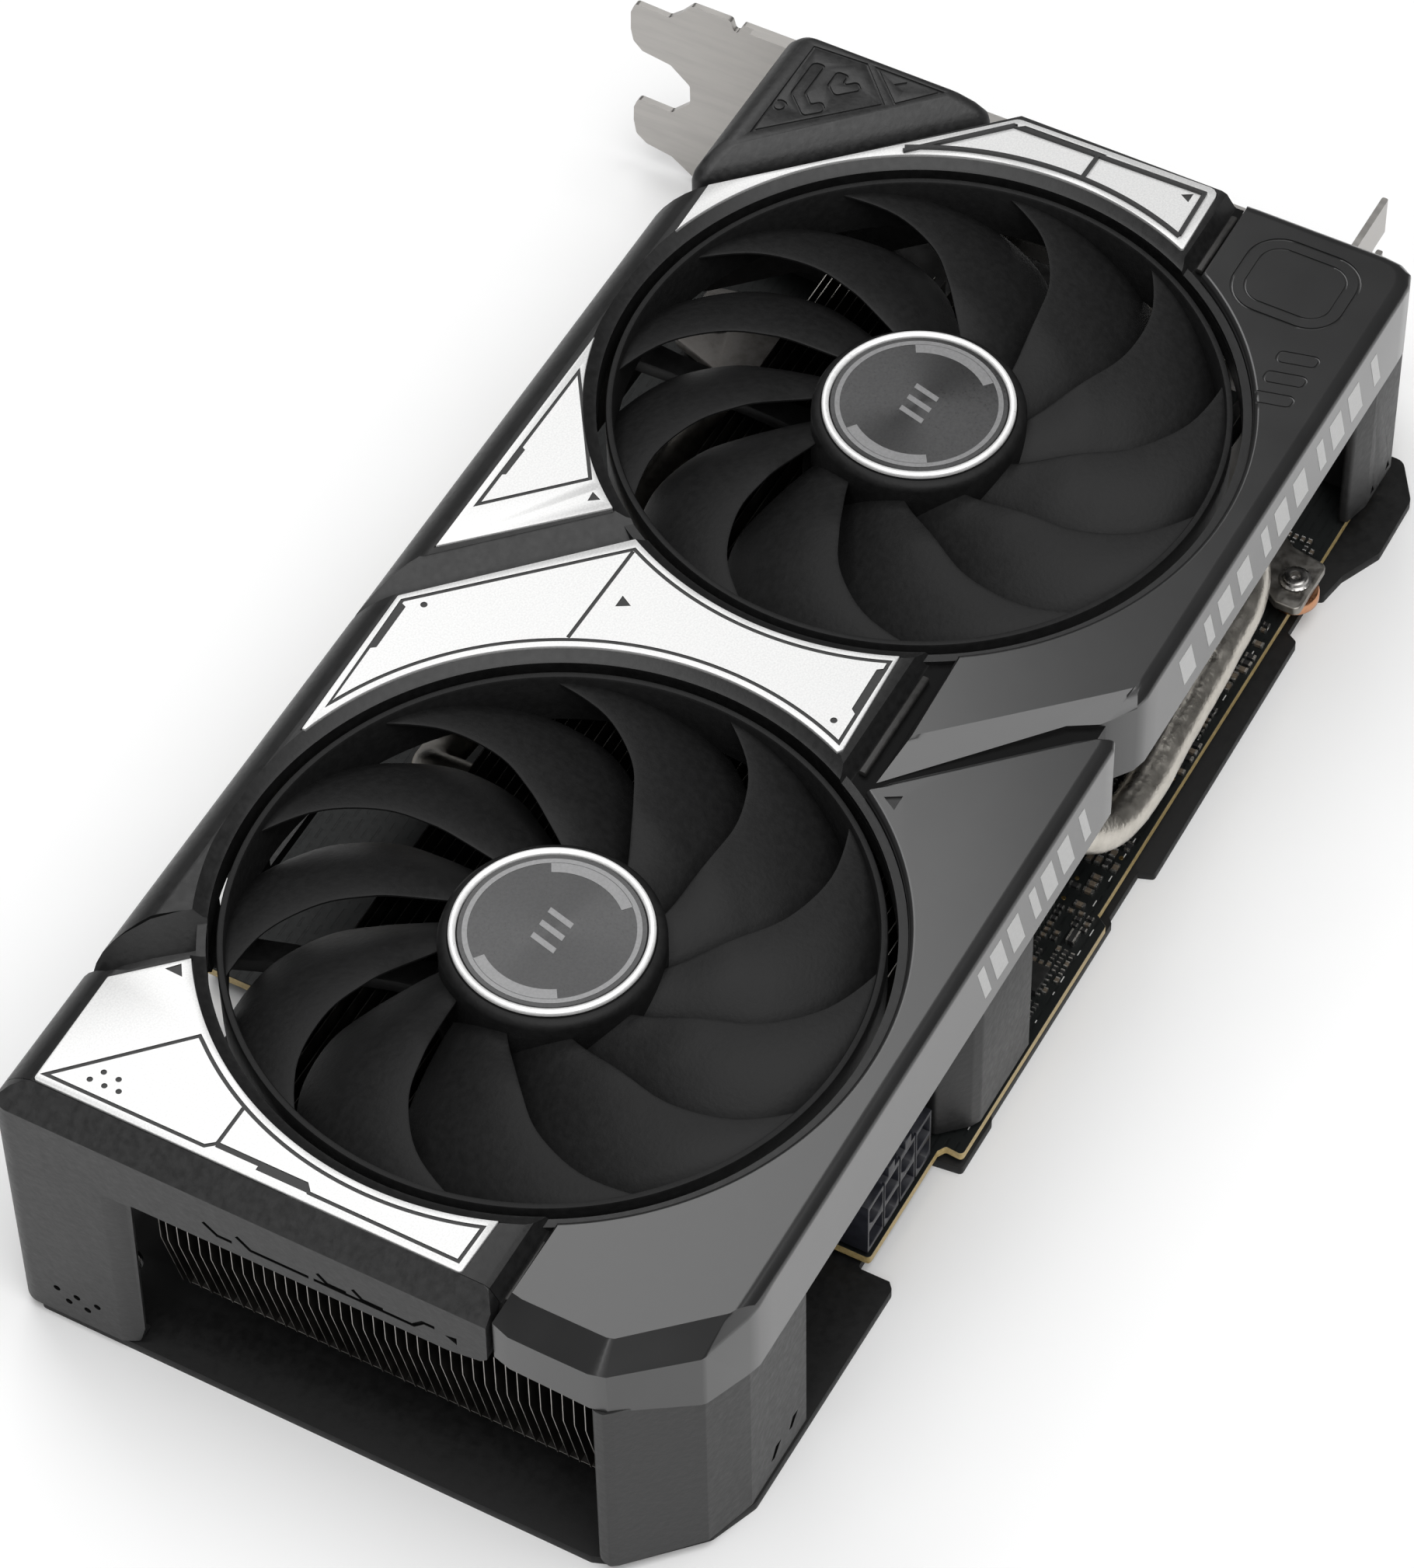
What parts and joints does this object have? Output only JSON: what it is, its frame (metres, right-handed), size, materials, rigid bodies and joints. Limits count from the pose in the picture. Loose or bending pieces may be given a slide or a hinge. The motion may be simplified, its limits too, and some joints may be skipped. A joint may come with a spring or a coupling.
{
  "type": "graphics card",
  "caption": "Slot-in graphics card with a black and silver shroud, ringed axial fans, a finned heatsink with heat pipes, backplate, circuit board and steel I/O bracket.",
  "frame": {"origin": "middle of the bounding box at the backplate's outer face", "axes": "+X from the I/O bracket to the exhaust end, +Y from the slot-connector edge to the power-connector edge, +Z from the backplate up through the fans"},
  "size_m": [0.237, 0.1364, 0.05],
  "materials": {
    "shroud_matte": "fine matte",
    "textured_black": "spark-textured matte",
    "gloss_cover": "polished",
    "accent_silver": "satin silver-white with dark engraved lines",
    "blade_plastic": "fine grain matte",
    "trim_silver": "bright",
    "disc_grey": "spun satin, tinted",
    "steel": "satin",
    "rail_grey": "satin",
    "board_black": "solder mask",
    "nickel": "nickel plate",
    "fins": "plain sheet",
    "backplate_black": "powder coat",
    "chip_black": "moulded epoxy",
    "choke_grey": "pressed ferrite",
    "capacitor_can": "drawn can",
    "connector_black": "moulded",
    "socket_black": "moulded with plated shell",
    "socket_metal": "plated",
    "copper": "plain",
    "screw_steel": "plain"
  },
  "bodies": {
    "card": {"shroud_frame": "shroud_matte", "fan_mount_a": "shroud_matte", "fan_mount_b": "shroud_matte", "corner_cap": "textured_black", "exhaust_frame": "textured_black", "corner_leg": "textured_black", "middle_leg": "textured_black", "bracket_leg": "textured_black", "cover_far": "gloss_cover", "cover_near": "gloss_cover", "accent_panel_end": "accent_silver", "accent_panel_middle": "accent_silver", "accent_panel_left": "accent_silver", "accent_panel_top": "accent_silver", "io_bracket": "steel", "clamp_arm": "steel", "groove_rail_end": "rail_grey", "groove_rail_middle": "rail_grey", "groove_rail_top": "rail_grey", "circuit_board": "board_black", "heat_pipe_1": "nickel", "heat_pipe_2": "nickel", "cold_plate": "nickel", "fin_stack": "fins", "backplate": "backplate_black", "gpu_package": "chip_black", "memory_chip_1": "chip_black", "memory_chip_2": "chip_black", "memory_chip_3": "chip_black", "memory_chip_4": "chip_black", "choke_1": "choke_grey", "choke_2": "choke_grey", "choke_3": "choke_grey", "choke_4": "choke_grey", "capacitor_1": "capacitor_can", "capacitor_2": "capacitor_can", "capacitor_3": "capacitor_can", "power_connector": "connector_black", "display_socket_1": "socket_black", "display_socket_2": "socket_black", "display_socket_3": "socket_black", "hdmi_socket": "socket_metal", "clamp_washer_1": "copper", "clamp_washer_2": "copper", "backplate_screw_1": "screw_steel", "backplate_screw_2": "screw_steel", "backplate_screw_3": "screw_steel", "backplate_screw_4": "screw_steel", "clamp_screw_1": "screw_steel", "clamp_screw_2": "screw_steel"},
    "fan_a": {"rotor_a": "blade_plastic", "hub_trim_ring_a": "trim_silver", "hub_disc_a": "disc_grey", "shaft_a": "steel"},
    "fan_b": {"rotor_b": "blade_plastic", "hub_trim_ring_b": "trim_silver", "hub_disc_b": "disc_grey", "shaft_b": "steel"}
  },
  "joints": [
    {"name": "fan_a_spin", "type": "hinge", "parent": "card", "child": "fan_a", "pos_m": [-0.04275, 0.0136, 0.042], "axis": [0, 0, 1], "continuous": true},
    {"name": "fan_b_spin", "type": "hinge", "parent": "card", "child": "fan_b", "pos_m": [0.06185, 0.0136, 0.042], "axis": [0, 0, 1], "continuous": true}
  ]
}
